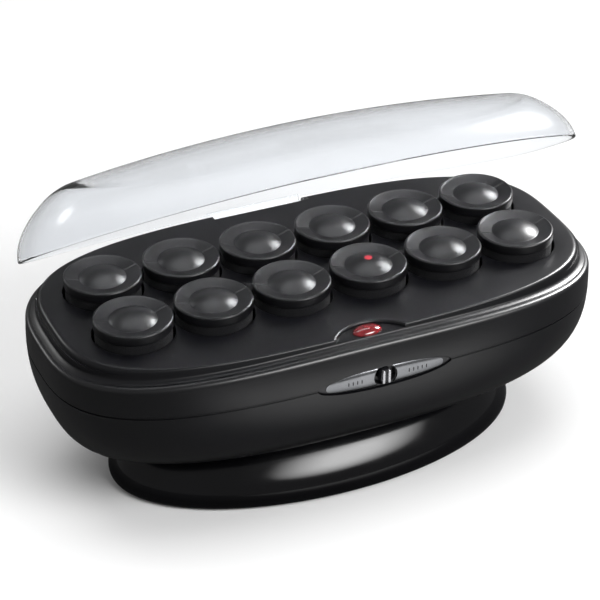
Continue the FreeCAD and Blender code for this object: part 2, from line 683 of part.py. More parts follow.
def roller_cap(x, y):
    """Cap with a bevelled rim, a shallow cone-shaped ring and a domed middle."""
    top = ROLLER_TOP_Z
    ring_z = top - RING_DROP
    dome_r = (DOME_R ** 2 + DOME_RISE ** 2) / (2 * DOME_RISE)
    half_way = DOME_R / 2
    half_way_z = ring_z + DOME_RISE - dome_r + math.sqrt(dome_r ** 2 - half_way ** 2)
    seat_z = top - CAP_HEIGHT + 1.5
    corners = [
        (0, seat_z),
        (CAP_NECK_R + 0.1, seat_z),
        (CAP_NECK_R + 0.1, top - CAP_HEIGHT),
        (ROLLER_R, top - CAP_HEIGHT),
        (ROLLER_R, top - BEVEL),
        (ROLLER_R - BEVEL, top),
        (DOME_R, ring_z),
    ]
    points = [VECTOR(r, 0, z) for r, z in corners]
    edges = [Part.makeLine(a, b) for a, b in zip(points, points[1:])]
    crown = VECTOR(0, 0, ring_z + DOME_RISE)
    edges.append(Part.Arc(points[-1], VECTOR(half_way, 0, half_way_z), crown).toShape())
    edges.append(Part.makeLine(crown, points[0]))
    body = Part.Face(Part.Wire(edges)).revolve(VECTOR(0, 0, 0), Z_AXIS, 360)
    for angle in GROOVE_ANGLES:
        cut = box(DOME_R + 0.3, ROLLER_R + 1, -0.3, 0.3, ring_z - 0.2, top + 1)
        cut = cut.cut(Part.makeCone(DOME_R, ROLLER_R, RING_DROP, VECTOR(0, 0, ring_z - 0.45)))
        cut.rotate(VECTOR(0, 0, 0), Z_AXIS, angle)
        body = body.cut(cut)
    body.translate(VECTOR(x, y, 0))
    return body


def roller_barrel(x, y):
    """Flocked barrel with a blind bore for the heating post."""
    low = ROLLER_TOP_Z - ROLLER_LENGTH
    high = ROLLER_TOP_Z - CAP_HEIGHT
    body = rod(BARREL_R, (x, y, low), (x, y, high))
    body = body.fuse(rod(CAP_NECK_R, (x, y, high - 1), (x, y, high + 1.4)))
    return body.cut(rod(BORE_R, (x, y, low - 1), (x, y, high - 3.0)))


def ready_dot(x, y):
    """Heat-sensitive dot, a thin skin on the dome's crown."""
    dome_r = (DOME_R ** 2 + DOME_RISE ** 2) / (2 * DOME_RISE)
    centre = VECTOR(x, y, ROLLER_TOP_Z - RING_DROP + DOME_RISE - dome_r)
    skin = Part.makeSphere(dome_r + 0.25, centre).cut(Part.makeSphere(dome_r, centre))
    return skin.common(rod(1.9, (x, y, ROLLER_TOP_Z), (x, y, ROLLER_TOP_Z + 9)))


def all_parts():
    outside, shell = case_shell()
    parts = {
        "upper_housing": upper_housing(outside, shell),
        "lower_housing": lower_housing(outside, shell),
        "housing_screws": housing_screws(),
        "roller_deck": roller_deck(),
        "deck_screws": deck_screws(),
        "indicator_lens": indicator_lens(),
        "indicator_lamp": indicator_lamp(),
        "switch_surround": switch_surround(),
        "switch_bezel": switch_bezel(),
        "switch_knob": switch_knob(),
        "switch_body": switch_body(),
        "heater_plate": heater_plate(),
        "heating_posts": heating_posts(),
        "heating_element": heating_element(),
        "element_clamps": element_clamps(),
        "thermostat": thermostat(),
        "thermal_fuse": thermal_fuse(),
        "heater_standoffs": heater_standoffs(),
        "heater_screws": heater_screws(),
        "insulation_pad": insulation_pad(),
        "pedestal": pedestal(),
        "base_plate": base_plate(),
        "rubber_feet": rubber_feet(),
        "base_screws": base_screws(),
        "pedestal_screws": pedestal_screws(),
        "cord_gland": cord_gland(outside),
        "terminal_block": terminal_block(),
        "clear_lid": clear_lid(),
        "hinge_pin": hinge_pin(),
    }
    for row, number, x, y in roller_places():
        parts[f"roller_{row}_{number}_cap"] = roller_cap(x, y)
        parts[f"roller_{row}_{number}_barrel"] = roller_barrel(x, y)
        if (row, number) == READY_ROLLER:
            parts["heat_ready_dot"] = ready_dot(x, y)
    return parts


def main():
    os.makedirs("parts", exist_ok=True)
    for name, shape in all_parts().items():
        if not shape.isValid() or not shape.Solids:
            raise ValueError(f"{name} is not a valid solid")
        shape.exportStep(f"parts/{name}.step")
        print(name, len(shape.Solids), round(shape.Volume), "mm3")


main()
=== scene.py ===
"""Looks of the heated roller set: camera, studio, procedural materials and finished meshes."""
import json
import math

import bpy
import bmesh
import numpy as np
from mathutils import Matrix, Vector


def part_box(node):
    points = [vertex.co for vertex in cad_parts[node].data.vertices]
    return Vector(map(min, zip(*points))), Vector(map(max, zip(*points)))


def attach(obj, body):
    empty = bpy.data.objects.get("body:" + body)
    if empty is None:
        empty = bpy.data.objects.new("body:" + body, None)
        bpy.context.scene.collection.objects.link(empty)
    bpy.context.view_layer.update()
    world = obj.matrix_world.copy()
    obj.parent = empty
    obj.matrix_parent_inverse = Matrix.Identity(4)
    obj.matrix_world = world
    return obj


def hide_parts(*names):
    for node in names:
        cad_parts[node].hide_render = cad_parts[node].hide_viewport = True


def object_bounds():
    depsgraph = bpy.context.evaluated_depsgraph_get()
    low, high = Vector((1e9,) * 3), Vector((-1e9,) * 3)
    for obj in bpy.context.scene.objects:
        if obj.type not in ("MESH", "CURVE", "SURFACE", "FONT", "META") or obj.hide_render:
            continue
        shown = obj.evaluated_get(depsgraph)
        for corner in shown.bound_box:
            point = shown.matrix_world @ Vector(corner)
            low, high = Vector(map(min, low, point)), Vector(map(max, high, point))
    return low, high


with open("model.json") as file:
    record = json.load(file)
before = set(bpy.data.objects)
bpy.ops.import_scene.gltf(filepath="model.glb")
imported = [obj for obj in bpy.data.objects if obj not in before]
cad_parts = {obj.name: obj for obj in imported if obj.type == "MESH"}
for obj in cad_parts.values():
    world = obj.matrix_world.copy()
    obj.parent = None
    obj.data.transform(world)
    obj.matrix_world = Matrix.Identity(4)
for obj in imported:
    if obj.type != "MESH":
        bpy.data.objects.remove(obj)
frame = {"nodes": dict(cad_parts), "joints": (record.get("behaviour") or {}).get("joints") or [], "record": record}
cad_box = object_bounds()

MM = 0.001
NODES = frame["nodes"]
JOINTS = {joint["name"]: joint for joint in frame["joints"]}


# ---------------------------------------------------------------- material helpers

def new_material(name):
    material = bpy.data.materials.new(name)
    material.use_nodes = True
    tree = material.node_tree
    return material, tree, tree.nodes["Principled BSDF"]


def object_coordinates(tree, scale=(1, 1, 1)):
    """Stretched coordinates in metres, since every object sits at the origin."""
    coordinates = tree.nodes.new("ShaderNodeTexCoord")
    mapping = tree.nodes.new("ShaderNodeMapping")
    mapping.inputs["Scale"].default_value = scale
    tree.links.new(coordinates.outputs["Object"], mapping.inputs["Vector"])
    return mapping.outputs["Vector"]


def noise(tree, vector, scale, detail=3.0, roughness=0.55):
    node = tree.nodes.new("ShaderNodeTexNoise")
    node.inputs["Scale"].default_value = scale
    node.inputs["Detail"].default_value = detail
    node.inputs["Roughness"].default_value = roughness
    tree.links.new(vector, node.inputs["Vector"])
    return node.outputs["Fac"]


def spread(tree, factor, low=0.0, high=1.0, start=0.3, end=0.7):
    """Maps a pattern that runs from start to end onto low..high."""
    node = tree.nodes.new("ShaderNodeMapRange")
    for key, value in (("From Min", start), ("From Max", end), ("To Min", low), ("To Max", high)):
        node.inputs[key].default_value = value
    tree.links.new(factor, node.inputs["Value"])
    return node.outputs["Result"]


def two_tone(tree, factor, dark, light):
    """Colour that drifts between two shades."""
    node = tree.nodes.new("ShaderNodeMix")
    node.data_type = "RGBA"
    node.inputs["A"].default_value = (*dark, 1)
    node.inputs["B"].default_value = (*light, 1)
    tree.links.new(factor, node.inputs["Factor"])
    return node.outputs["Result"]


def bump(tree, height, strength, distance, under=None):
    node = tree.nodes.new("ShaderNodeBump")
    node.inputs["Strength"].default_value = strength
    node.inputs["Distance"].default_value = distance
    tree.links.new(height, node.inputs["Height"])
    if under is not None:
        tree.links.new(under, node.inputs["Normal"])
    return node.outputs["Normal"]


def moulded_plastic(name, dark, light, rough, shine=0.5, grain=900.0, grain_depth=0.03):
    """Moulded plastic: spark-eroded grain, slow changes of shade and faint handling marks."""
    material, tree, shader = new_material(name)
    where = object_coordinates(tree)
    cloud = noise(tree, where, scale=22.0, detail=2.0)
    smear = noise(tree, object_coordinates(tree, (1.0, 3.0, 1.0)), scale=75.0, detail=5.0)
    fine = noise(tree, where, scale=grain, detail=2.0)
    tree.links.new(two_tone(tree, spread(tree, cloud), dark, light), shader.inputs["Base Color"])
    tree.links.new(spread(tree, smear, *rough), shader.inputs["Roughness"])
    tree.links.new(bump(tree, fine, grain_depth, distance=0.0004), shader.inputs["Normal"])
    shader.inputs["IOR"].default_value = 1.5
    shader.inputs["Specular IOR Level"].default_value = shine
    return material


def metal(name, dark, light, rough, brush=(1.0, 40.0, 40.0), metallic=1.0):
    """Metal with fine drawn lines, longest along the axes where brush is smallest."""
    material, tree, shader = new_material(name)
    lines = noise(tree, object_coordinates(tree, brush), scale=160.0, detail=4.0)
    cloud = noise(tree, object_coordinates(tree), scale=60.0, detail=2.0)
    tree.links.new(two_tone(tree, spread(tree, cloud), dark, light), shader.inputs["Base Color"])
    tree.links.new(spread(tree, lines, *rough), shader.inputs["Roughness"])
    tree.links.new(bump(tree, lines, strength=0.05, distance=0.0002), shader.inputs["Normal"])
    shader.inputs["Metallic"].default_value = metallic
    return material


def flock():
    """Short velvet flocking: fuzzy normals, soft sheen and slightly uneven pile."""
    material, tree, shader = new_material("flocking")
    where = object_coordinates(tree)
    pile = noise(tree, where, scale=2600.0, detail=2.0, roughness=0.7)
    patches = noise(tree, where, scale=140.0)
    tint = two_tone(tree, spread(tree, pile), (0.002, 0.002, 0.0024), (0.013, 0.013, 0.015))
    tree.links.new(tint, shader.inputs["Base Color"])
    coarse = bump(tree, patches, strength=0.15, distance=0.0006)
    fuzz = bump(tree, pile, strength=0.6, distance=0.0005, under=coarse)
    tree.links.new(fuzz, shader.inputs["Normal"])
    shader.inputs["Roughness"].default_value = 0.95
    shader.inputs["Specular IOR Level"].default_value = 0.2
    shader.inputs["Sheen Weight"].default_value = 0.06
    shader.inputs["Sheen Roughness"].default_value = 0.4
    return material


def clear_plastic(name, colour):
    """Clear moulded plastic with a faint flow pattern.

    Its index is lower than real styrene's, which keeps dark refractions out of the thin
    lid, and the coat gives back the gloss that the low index takes away.
    """
    material, tree, shader = new_material(name)
    flow = noise(tree, object_coordinates(tree, (1.0, 2.0, 2.0)), scale=16.0, detail=2.0)
    tree.links.new(bump(tree, flow, strength=0.04, distance=0.002), shader.inputs["Normal"])
    shader.inputs["Base Color"].default_value = (*colour, 1)
    shader.inputs["Roughness"].default_value = 0.03
    shader.inputs["Transmission Weight"].default_value = 1.0
    shader.inputs["IOR"].default_value = 1.12
    shader.inputs["Coat Weight"].default_value = 0.35
    shader.inputs["Coat Roughness"].default_value = 0.22
    return material


def red_jewel():
    """Translucent red lens with soft internal flecks."""
    material, tree, shader = new_material("red_lens")
    flecks = noise(tree, object_coordinates(tree), scale=420.0, detail=2.0)
    tint = two_tone(tree, spread(tree, flecks), (0.1, 0.002, 0.004), (0.2, 0.006, 0.01))
    tree.links.new(tint, shader.inputs["Base Color"])
    shader.inputs["Roughness"].default_value = 0.08
    shader.inputs["Transmission Weight"].default_value = 0.1
    shader.inputs["IOR"].default_value = 1.49
    shader.inputs["Coat Weight"].default_value = 1.0
    shader.inputs["Coat Roughness"].default_value = 0.04
    return material


# Darkest and lightest colour, then the range of roughness.
MOULDED = {
    "case_plastic": dict(
        dark=(0.0022, 0.0022, 0.0028), light=(0.0034, 0.0034, 0.0044), rough=(0.31, 0.35),
        grain_depth=0.008,
    ),
    "deck_plastic": dict(
        dark=(0.0022, 0.0022, 0.003), light=(0.0034, 0.0034, 0.0046), rough=(0.33, 0.36),
        shine=0.34, grain_depth=0.006,
    ),
    "cap_plastic": dict(
        dark=(0.003, 0.003, 0.0038), light=(0.0045, 0.0045, 0.0056), rough=(0.34, 0.39),
        shine=0.42, grain_depth=0.008,
    ),
    "pedestal_gloss": dict(
        dark=(0.001, 0.001, 0.0014), light=(0.0016, 0.0016, 0.0022), rough=(0.1, 0.14),
        shine=0.3, grain=300.0, grain_depth=0.004,
    ),
    "black_trim": dict(dark=(0.006, 0.006, 0.007), light=(0.012, 0.012, 0.014), rough=(0.25, 0.32)),
    "ready_red": dict(
        dark=(0.26, 0.01, 0.018), light=(0.4, 0.028, 0.04), rough=(0.4, 0.5),
        shine=0.4, grain=1500.0, grain_depth=0.1,
    ),
    "ceramic": dict(
        dark=(0.7, 0.69, 0.65), light=(0.82, 0.81, 0.77), rough=(0.6, 0.75),
        shine=0.4, grain=500.0, grain_depth=0.12,
    ),
    "insulation": dict(
        dark=(0.45, 0.4, 0.3), light=(0.62, 0.55, 0.43), rough=(0.7, 0.85),
        shine=0.3, grain=300.0, grain_depth=0.3,
    ),
    "nylon": dict(dark=(0.7, 0.7, 0.68), light=(0.8, 0.8, 0.78), rough=(0.4, 0.5)),
    "rubber": dict(
        dark=(0.01, 0.01, 0.01), light=(0.022, 0.022, 0.022), rough=(0.7, 0.85),
        shine=0.3, grain=1200.0, grain_depth=0.15,
    ),
}
METALS = {
    "knob_plastic": dict(
        dark=(0.42, 0.42, 0.44), light=(0.55, 0.55, 0.57), rough=(0.24, 0.32),
        brush=(1.0, 1.0, 12.0), metallic=0.8,
    ),
    "bright_trim": dict(
        dark=(0.2, 0.205, 0.215), light=(0.27, 0.275, 0.285), rough=(0.2, 0.28),
        brush=(1.0, 30.0, 30.0),
    ),
    "aluminium": dict(dark=(0.68, 0.69, 0.7), light=(0.8, 0.81, 0.82), rough=(0.28, 0.42)),
    "element_steel": dict(dark=(0.2, 0.19, 0.18), light=(0.34, 0.32, 0.3), rough=(0.35, 0.5)),
    "steel": dict(dark=(0.5, 0.5, 0.51), light=(0.64, 0.64, 0.65), rough=(0.22, 0.38)),
}
LID_TINT = (0.9, 0.915, 0.935)
LAMP_TINT = (0.95, 0.7, 0.6)


def make_materials():
    """Every material by the name of its slot."""
    made = {name: moulded_plastic(name, **finish) for name, finish in MOULDED.items()}
    made.update({name: metal(name, **finish) for name, finish in METALS.items()})
    made["flocking"] = flock()
    made["clear_plastic"] = clear_plastic("clear_plastic", LID_TINT)
    made["lamp_glass"] = clear_plastic("lamp_glass", LAMP_TINT)
    made["red_lens"] = red_jewel()
    return made


MATERIALS = make_materials()


def dress_cad():
    """Every CAD node takes the finish of its own slot."""
    for part in frame["record"]["subparts"]:
        mesh = NODES[part["node"]].data
        mesh.materials.clear()
        mesh.materials.append(MATERIALS[part["material_slot"]])


# ---------------------------------------------------------------- mesh helpers

# Sizes of the meshes are in millimetres. An outline is its half length, half depth and
# superellipse power.
RING_SEGMENTS = 360
SHARP_DEG = 32.0
LEVEL_NORMAL_Z = 0.9999
LEVEL_TOLERANCE = 0.001


def solid_mesh(name, points, faces):
    """Mesh object from points in millimetres, with its faces turned outwards."""
    mesh = bpy.data.meshes.new(name)
    mesh.from_pydata([tuple(p) for p in np.asarray(points) * MM], [], [tuple(f) for f in faces])
    mesh.validate()
    work = bmesh.new()
    work.from_mesh(mesh)
    bmesh.ops.recalc_face_normals(work, faces=work.faces)
    work.to_mesh(mesh)
    work.free()
    solid = bpy.data.objects.new(name, mesh)
    bpy.context.scene.collection.objects.link(solid)
    return solid


def add_mesh(name, points, faces, body, slot):
    """Finished piece with the material of its slot, riding on a body."""
    piece = solid_mesh(name, points, faces)
    piece.data.polygons.foreach_set("use_smooth", [True] * len(piece.data.polygons))
    piece.data.materials.append(MATERIALS[slot])
    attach(piece, body)
    return piece


def bridged(rings, close_loop=False, cap_start=False, cap_end=False):
    """Quads between equal closed rings; a cap is a fan to the ring's middle."""
    count = len(rings[0])
    points = np.concatenate([np.asarray(ring, float) for ring in rings])
    faces = []
    last = len(rings) if close_loop else len(rings) - 1
    for row in range(last):
        here = row * count
        there = (row + 1) % len(rings) * count
        for column in range(count):
            after = (column + 1) % count
            faces.append((here + column, here + after, there + after, there + column))
    for wanted, row in ((cap_start, 0), (cap_end, len(rings) - 1)):
        if wanted:
            middle = len(points)
            points = np.vstack([points, np.mean(rings[row], axis=0)])
            start = row * count
            faces += [(start + c, start + (c + 1) % count, middle) for c in range(count)]
    return points, faces


def extend(points, faces, more_points, more_faces):
    """Adds one more block to a mesh in the making."""
    start = len(points)
    points += list(more_points)
    faces += [tuple(index + start for index in face) for face in more_faces]


def full_turn(count):
    return np.linspace(0, 2 * math.pi, count, endpoint=False)


def stacked(x, y, z):
    """Points from their coordinates, each of them an array or one number."""
    return np.stack(np.broadcast_arrays(x, y, z), axis=-1)


def outline(half_x, half_y, power, count):
    """Coordinates of a superellipse; each of its sizes is a number or one for every point."""
    cos, sin = np.cos(full_turn(count)), np.sin(full_turn(count))
    reach = (np.abs(cos) ** power + np.abs(sin) ** power) ** (-1 / power)
    return half_x * cos * reach, half_y * sin * reach


def ring_at(half_x, half_y, power, z):
    """Ring round the case's middle; z is one height or a function of x."""
    x, y = outline(half_x, half_y, power, RING_SEGMENTS)
    return stacked(x, y, z(x) if callable(z) else z)


def ellipse(half_x, half_y, middle, count):
    """Level ellipse round a middle."""
    turn = full_turn(count)
    return stacked(middle[0] + half_x * np.cos(turn), middle[1] + half_y * np.sin(turn), middle[2])


def moved_in(ring, distance):
    """Ring moved level towards its inside by a distance."""
    along = np.roll(ring, -1, axis=0) - np.roll(ring, 1, axis=0)
    inward = stacked(-along[:, 1], along[:, 0], 0.0)
    return ring + inward / np.linalg.norm(inward, axis=1)[:, None] * distance


def softened(first, corner, last, steps):
    """Rings of a quadratic curve that rounds a corner."""
    share = np.linspace(0, 1, steps)[:, None, None]
    return (1 - share) ** 2 * first + 2 * share * (1 - share) * corner + share ** 2 * last


def cut_away(piece, points, faces):
    """Takes a closed shape out of the piece for good."""
    cutter = solid_mesh("cutter", points, faces)
    change = piece.modifiers.new("cut", "BOOLEAN")
    change.operation = "DIFFERENCE"
    change.solver = "EXACT"
    change.object = cutter
    evaluated = piece.evaluated_get(bpy.context.evaluated_depsgraph_get())
    settled = bpy.data.meshes.new_from_object(evaluated)
    piece.modifiers.clear()
    piece.data = settled
    bpy.data.objects.remove(cutter)


def box_block(low, high):
    """Points and faces of a box between two corners."""
    xs, ys, zs = zip(low, high)
    points = [(x, y, z) for x in xs for y in ys for z in zs]
    faces = [(0, 1, 3, 2), (4, 6, 7, 5), (0, 4, 5, 1), (2, 3, 7, 6), (0, 2, 6, 4), (1, 5, 7, 3)]
    return points, faces


def close_level(piece, heights):
    """Closes a mesh's level openings with triangles that go round the holes in them."""
    work = bmesh.new()
    work.from_mesh(piece.data)
    for height in heights:
        rim = [
            edge for edge in work.edges
            if edge.is_boundary
            and all(abs(vert.co.z / MM - height) < LEVEL_TOLERANCE for vert in edge.verts)
        ]
        bmesh.ops.triangle_fill(
            work, use_beauty=True, use_dissolve=False, edges=rim, normal=(0, 0, 1)
        )
    bmesh.ops.recalc_face_normals(work, faces=work.faces)
    work.to_mesh(piece.data)
    work.free()


def shade(piece):
    """Smooth shading, broken at sharp edges and left off on level faces."""
    mesh = piece.data
    sloping = [abs(face.normal.z) < LEVEL_NORMAL_Z for face in mesh.polygons]
    mesh.polygons.foreach_set("use_smooth", sloping)
    mesh.set_sharp_from_angle(angle=math.radians(SHARP_DEG))


# ---------------------------------------------------------------- clear lid

LEDGE_HALF_LENGTH = 142.4
LID_RIM = (142.6, 74.0, 3.0)
LID_CHORD_Z = 92.5
LID_TOP_Z = 131.5
LID_LEAN = 0.0246
LID_CROSS_R = 121.5
LID_LENGTH_R = 889.0
LID_WALL = 2.0
LID_FOOT_Z = 98.2
LID_FOOT_DROP = 5.7
LID_SOFT = (3.6, 2.4)
LID_SOFT_REACH = 1.4
LID_MOST_RISE = 38.0
LID_HALVINGS = 30
LID_WALL_ROWS = 22
LID_WALL_CROWDING = 1.15
LID_CREASE_ROWS = 7
LID_TOP_ROWS = 26
LID_INNERMOST = 0.02
LID_LIP_ROWS = 7
DISH_HALF = (25.0, 10.5)
DISH_DEPTH = 2.2
DISH_POWER = 0.6
HINGE_Y, HINGE_Z = (place / MM for place in JOINTS["lid_hinge"]["pos_m"][1:])
HINGE_HALF_WIDTH = 26.0
KNUCKLE_SECTION = ((-1, 2.7), (-0.98, 3.0), (0.98, 3.0), (1, 2.7), (1, 1.3), (-1, 1.3))
KNUCKLE_SEGMENTS = 48
TONGUE_Y = 72.0
TONGUE_HALF = 0.95
TONGUE_POWER = 12.0
TONGUE_Z = (HINGE_Z + 2.4, LID_FOOT_Z + 1.2)
TONGUE_SEGMENTS = 96


def arch(x, middle, drop):
    """Height of a line that falls by drop towards the case's ends."""
    return middle - drop * (x / LEDGE_HALF_LENGTH) ** 2


def lid_foot_z(ring):
    return arch(ring[:, 0], LID_FOOT_Z, LID_FOOT_DROP)


def lid_wall(rise, inset):
    """Ring of the lid's leaning wall; rise above the rim's chord is a number or one for each point."""
    half_x, half_y, power = LID_RIM
    lean = LID_LEAN * np.maximum(rise, 0) ** 2 + inset
    x, y = outline(half_x - lean, half_y - lean, power, RING_SEGMENTS)
    return stacked(x, y, LID_CHORD_Z + rise)


def lid_top_z(ring, inset):
    """Height of the barrel-shaped top over or under a ring's points."""
    x, y = ring[:, 0], ring[:, 1]
    spine = LID_LENGTH_R - LID_CROSS_R + np.sqrt((LID_CROSS_R - inset) ** 2 - y ** 2)
    return LID_TOP_Z - LID_LENGTH_R + np.sqrt(spine ** 2 - x ** 2)


def lid_crease_rise(inset):
    """Rise at which the leaning wall meets the top, found by halving."""
    low, high = np.zeros(RING_SEGMENTS), np.full(RING_SEGMENTS, LID_MOST_RISE)
    for _ in range(LID_HALVINGS):
        middle = (low + high) / 2
        ring = lid_wall(middle, inset)
        inside = ring[:, 2] < lid_top_z(ring, inset)
        low, high = np.where(inside, middle, low), np.where(inside, high, middle)
    return low


def lid_skin(inset, soft):
    """Rings of one surface of the closed lid, from just over the rim to the top's middle."""
    crease_rise = lid_crease_rise(inset)
    crease = lid_wall(crease_rise, inset)
    foot = lid_foot_z(lid_wall(0.0, inset)) - LID_CHORD_Z + LID_WALL / 2
    rows = []
    for share in np.linspace(0, 1, LID_WALL_ROWS):
        climb = (crease_rise - soft - foot) * share ** LID_WALL_CROWDING
        rows.append(lid_wall(foot + climb, inset))
    reach = np.hypot(crease[:, 0], crease[:, 1])
    on_top = crease * ((reach - soft * LID_SOFT_REACH) / reach)[:, None]
    on_top[:, 2] = lid_top_z(on_top, inset)
    rows += list(softened(rows[-1], crease, on_top, LID_CREASE_ROWS))[1:]
    for share in np.linspace(1, LID_INNERMOST, LID_TOP_ROWS)[1:]:
        ring = on_top * share
        ring[:, 2] = lid_top_z(ring, inset)
        rows.append(ring)
    return rows


def lid_lip():
    """Rings of the rolled edge that joins the lid's two surfaces at its rim."""
    rows = []
    for turn in np.linspace(0, math.pi, LID_LIP_ROWS)[1:-1]:
        ring = lid_wall(0.0, LID_WALL / 2 * (1 - math.cos(turn)))
        ring[:, 2] = lid_foot_z(ring) + LID_WALL / 2 * (1 - math.sin(turn))
        rows.append(ring)
    return rows


def thumb_dish(points):
    """Presses the shallow crescent for a finger into the middle of the front wall."""
    points = points.copy()
    height = points[:, 2] - lid_foot_z(points)
    reach = (points[:, 0] / DISH_HALF[0]) ** 2 + (height / DISH_HALF[1]) ** 2
    pressed = (reach < 1) & (points[:, 1] < 0)
    points[pressed, 1] += DISH_DEPTH * (1 - reach[pressed]) ** DISH_POWER
    return points


def swing_open(points):
    """Turns the closed lid about its hinge to the rest position."""
    angle = math.radians(-JOINTS["lid_hinge"]["range_deg"][0])
    y, z = points[:, 1] - HINGE_Y, points[:, 2] - HINGE_Z
    turned = points.copy()
    turned[:, 1] = HINGE_Y + y * math.cos(angle) + z * math.sin(angle)
    turned[:, 2] = HINGE_Z - y * math.sin(angle) + z * math.cos(angle)
    return turned


def make_lid():
    """Clear dome: outer surface, rolled edge and inner surface."""
    outer = lid_skin(0.0, LID_SOFT[0])
    inner = lid_skin(LID_WALL, LID_SOFT[1])
    points, faces = bridged(outer[::-1] + lid_lip() + inner, cap_start=True, cap_end=True)
    points = swing_open(thumb_dish(points))
    lid = add_mesh("lid_dome", points, faces, "lid", "clear_plastic")
    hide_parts("clear_lid")


def make_lid_hinge():
    """Tongue and bored knuckle moulded under the lid's back wall."""
    points, faces = [], []
    turn = full_turn(KNUCKLE_SEGMENTS)
    rings = []
    for share, radius in KNUCKLE_SECTION:
        y, z = HINGE_Y + radius * np.cos(turn), HINGE_Z + radius * np.sin(turn)
        rings.append(stacked(share * HINGE_HALF_WIDTH, y, z))
    extend(points, faces, *bridged(rings, close_loop=True))
    x, y = outline(HINGE_HALF_WIDTH, TONGUE_HALF, TONGUE_POWER, TONGUE_SEGMENTS)
    rings = [stacked(x, TONGUE_Y + y, z) for z in TONGUE_Z]
    extend(points, faces, *bridged(rings, cap_start=True, cap_end=True))
    points = swing_open(np.array(points))
    hinge = add_mesh("lid_hinge_tongue", points, faces, "lid", "clear_plastic")
    shade(hinge)


# ---------------------------------------------------------------- upper case

WAIST = (144.0, 76.2, 2.9)
WAIST_Z = 79.0
SHOULDER_INSET = (1.6, 3.0, -0.2)
SHOULDER_SOFT = 2.4
SHOULDER_ROWS = 9
SEAM_Z = 81.1
SEAM_DROP = 4.1
SEAM_LIP = 0.45
SEAM_ROWS = 5
LEDGE_Z = 97.7
LEDGE_DROP = 5.7
CASE_WALL = 2.5
FLANGE_OPENING = (128.0, 58.0, 3.0)
WALL_PASSES = 3
WALL_SHARES = np.linspace(0.06, 0.8, 12)
LEDGE_SHARES = (0.35, 0.7, 1.0)
INSIDE_SHARES = (0.82, 0.4, 0.0)
HINGE_POCKET = ((-26.6, 63.0, 87.0), (26.6, 90.0, 110.0))
SWITCH_X = 4.0
SWITCH_Z = 80.4
SWITCH_CUT_Y = (-90.0, -60.0)
SURROUND_OVAL = (35.2, 5.8, 2.0)
OVAL_SEGMENTS = 144


def ledge_z(x):
    return arch(x, LEDGE_Z, LEDGE_DROP)


def wall_ring(share, lift=0.0):
    """Ring of the upper case's wall; share runs from 0 at the seam to 1 at the ledge."""
    ring = ring_at(*WAIST, WAIST_Z)
    for _ in range(WALL_PASSES):
        seam = arch(ring[:, 0], SEAM_Z, SEAM_DROP)
        z = seam + (ledge_z(ring[:, 0]) - seam) * share + lift
        rise = (z - WAIST_Z) / (LEDGE_Z - WAIST_Z)
        shape = [waist - inset * rise ** 2 for waist, inset in zip(WAIST, SHOULDER_INSET)]
        ring = stacked(*outline(*shape, RING_SEGMENTS), z)
    return ring


def oval_loop(half_x, half_z, power, count=OVAL_SEGMENTS):
    """Superellipse as (x, z) round the switch's middle."""
    x, z = outline(half_x, half_z, power, count)
    return np.stack([SWITCH_X + x, SWITCH_Z + z], axis=-1)


def upright_ring(loop, y):
    """Ring of a loop of (x, z) at one depth, or at one for each point."""
    return stacked(loop[:, 0], y, loop[:, 1])


def make_upper_case():
    """Upper case shell: rolled seam lip, wall, rounded shoulder and flange under the deck."""
    seam = wall_ring(0.0)
    rows = list(softened(moved_in(seam, SEAM_LIP), seam, wall_ring(0.0, lift=SEAM_LIP), SEAM_ROWS))
    rows += [wall_ring(share) for share in WALL_SHARES]
    corner = wall_ring(1.0)
    beside = moved_in(corner, SHOULDER_SOFT)
    beside[:, 2] = ledge_z(beside[:, 0])
    rows += list(softened(wall_ring(1.0, lift=-SHOULDER_SOFT), corner, beside, SHOULDER_ROWS))
    inner = ring_at(*FLANGE_OPENING, ledge_z)
    for share in LEDGE_SHARES:
        ring = beside + (inner - beside) * share
        ring[:, 2] = ledge_z(ring[:, 0])
        rows.append(ring)
    rows.append(inner - (0, 0, CASE_WALL))
    rows += [moved_in(wall_ring(share), CASE_WALL) for share in INSIDE_SHARES]
    points, faces = bridged(rows, close_loop=True)
    case = add_mesh("upper_case", points, faces, "base", "case_plastic")
    slot = [upright_ring(oval_loop(*SURROUND_OVAL), y) for y in SWITCH_CUT_Y]
    cut_away(case, *bridged(slot, cap_start=True, cap_end=True))
    cut_away(case, *box_block(*HINGE_POCKET))
    shade(case)
    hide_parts("upper_housing")


# ---------------------------------------------------------------- deck

DECK_TOP_Z = 101.0
DECK_TOP_OUTLINE = (136.4, 66.6, 3.2)
DECK_FOOT_OUTLINE = (140.2, 68.9, 3.15)
DECK_ROUND = (0.9, 2.6)
DECK_ROUND_POWER = 3
DECK_EDGE_ROWS = 9
DECK_FLANK_SHARES = (0.35, 0.7)
DECK_KNEE = (0.4, 0.4, 0.8)
DECK_KNEE_DIP = 0.4
DECK_KNEE_ROWS = 7
DECK_FOOT_FLARE = 0.7
DECK_LIFT = 0.05
DECK_HEM = 0.04
DECK_SKIN = 2.2
DECK_SKIN_LIFT = 0.02
DECK_UNDERSIDE_Z = 98.0
DECK_LEAST_SKIRT = 0.1
WELL_R = 20.0
WELL_ROUND = 0.4
WELL_ROWS = 5
WELL_SEGMENTS = 96
CRESCENT_R = 21.8
CRESCENT_Y = -79.0
CRESCENT_DEPTH = 1.8
CRESCENT_ROUND = 1.5
CRESCENT_ROWS = 8
CRESCENT_SEGMENTS = 288
CRESCENT_HEADROOM = 3.0


def roller_middles():
    """Middle of every roller's barrel, from the frame."""
    names = [name for name in NODES if name.startswith("roller_") and name.endswith("_barrel")]
    middles = []
    for name in sorted(names):
        low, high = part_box(name)
        middles.append(((low.x + high.x) / 2 / MM, (low.y + high.y) / 2 / MM))
    return middles


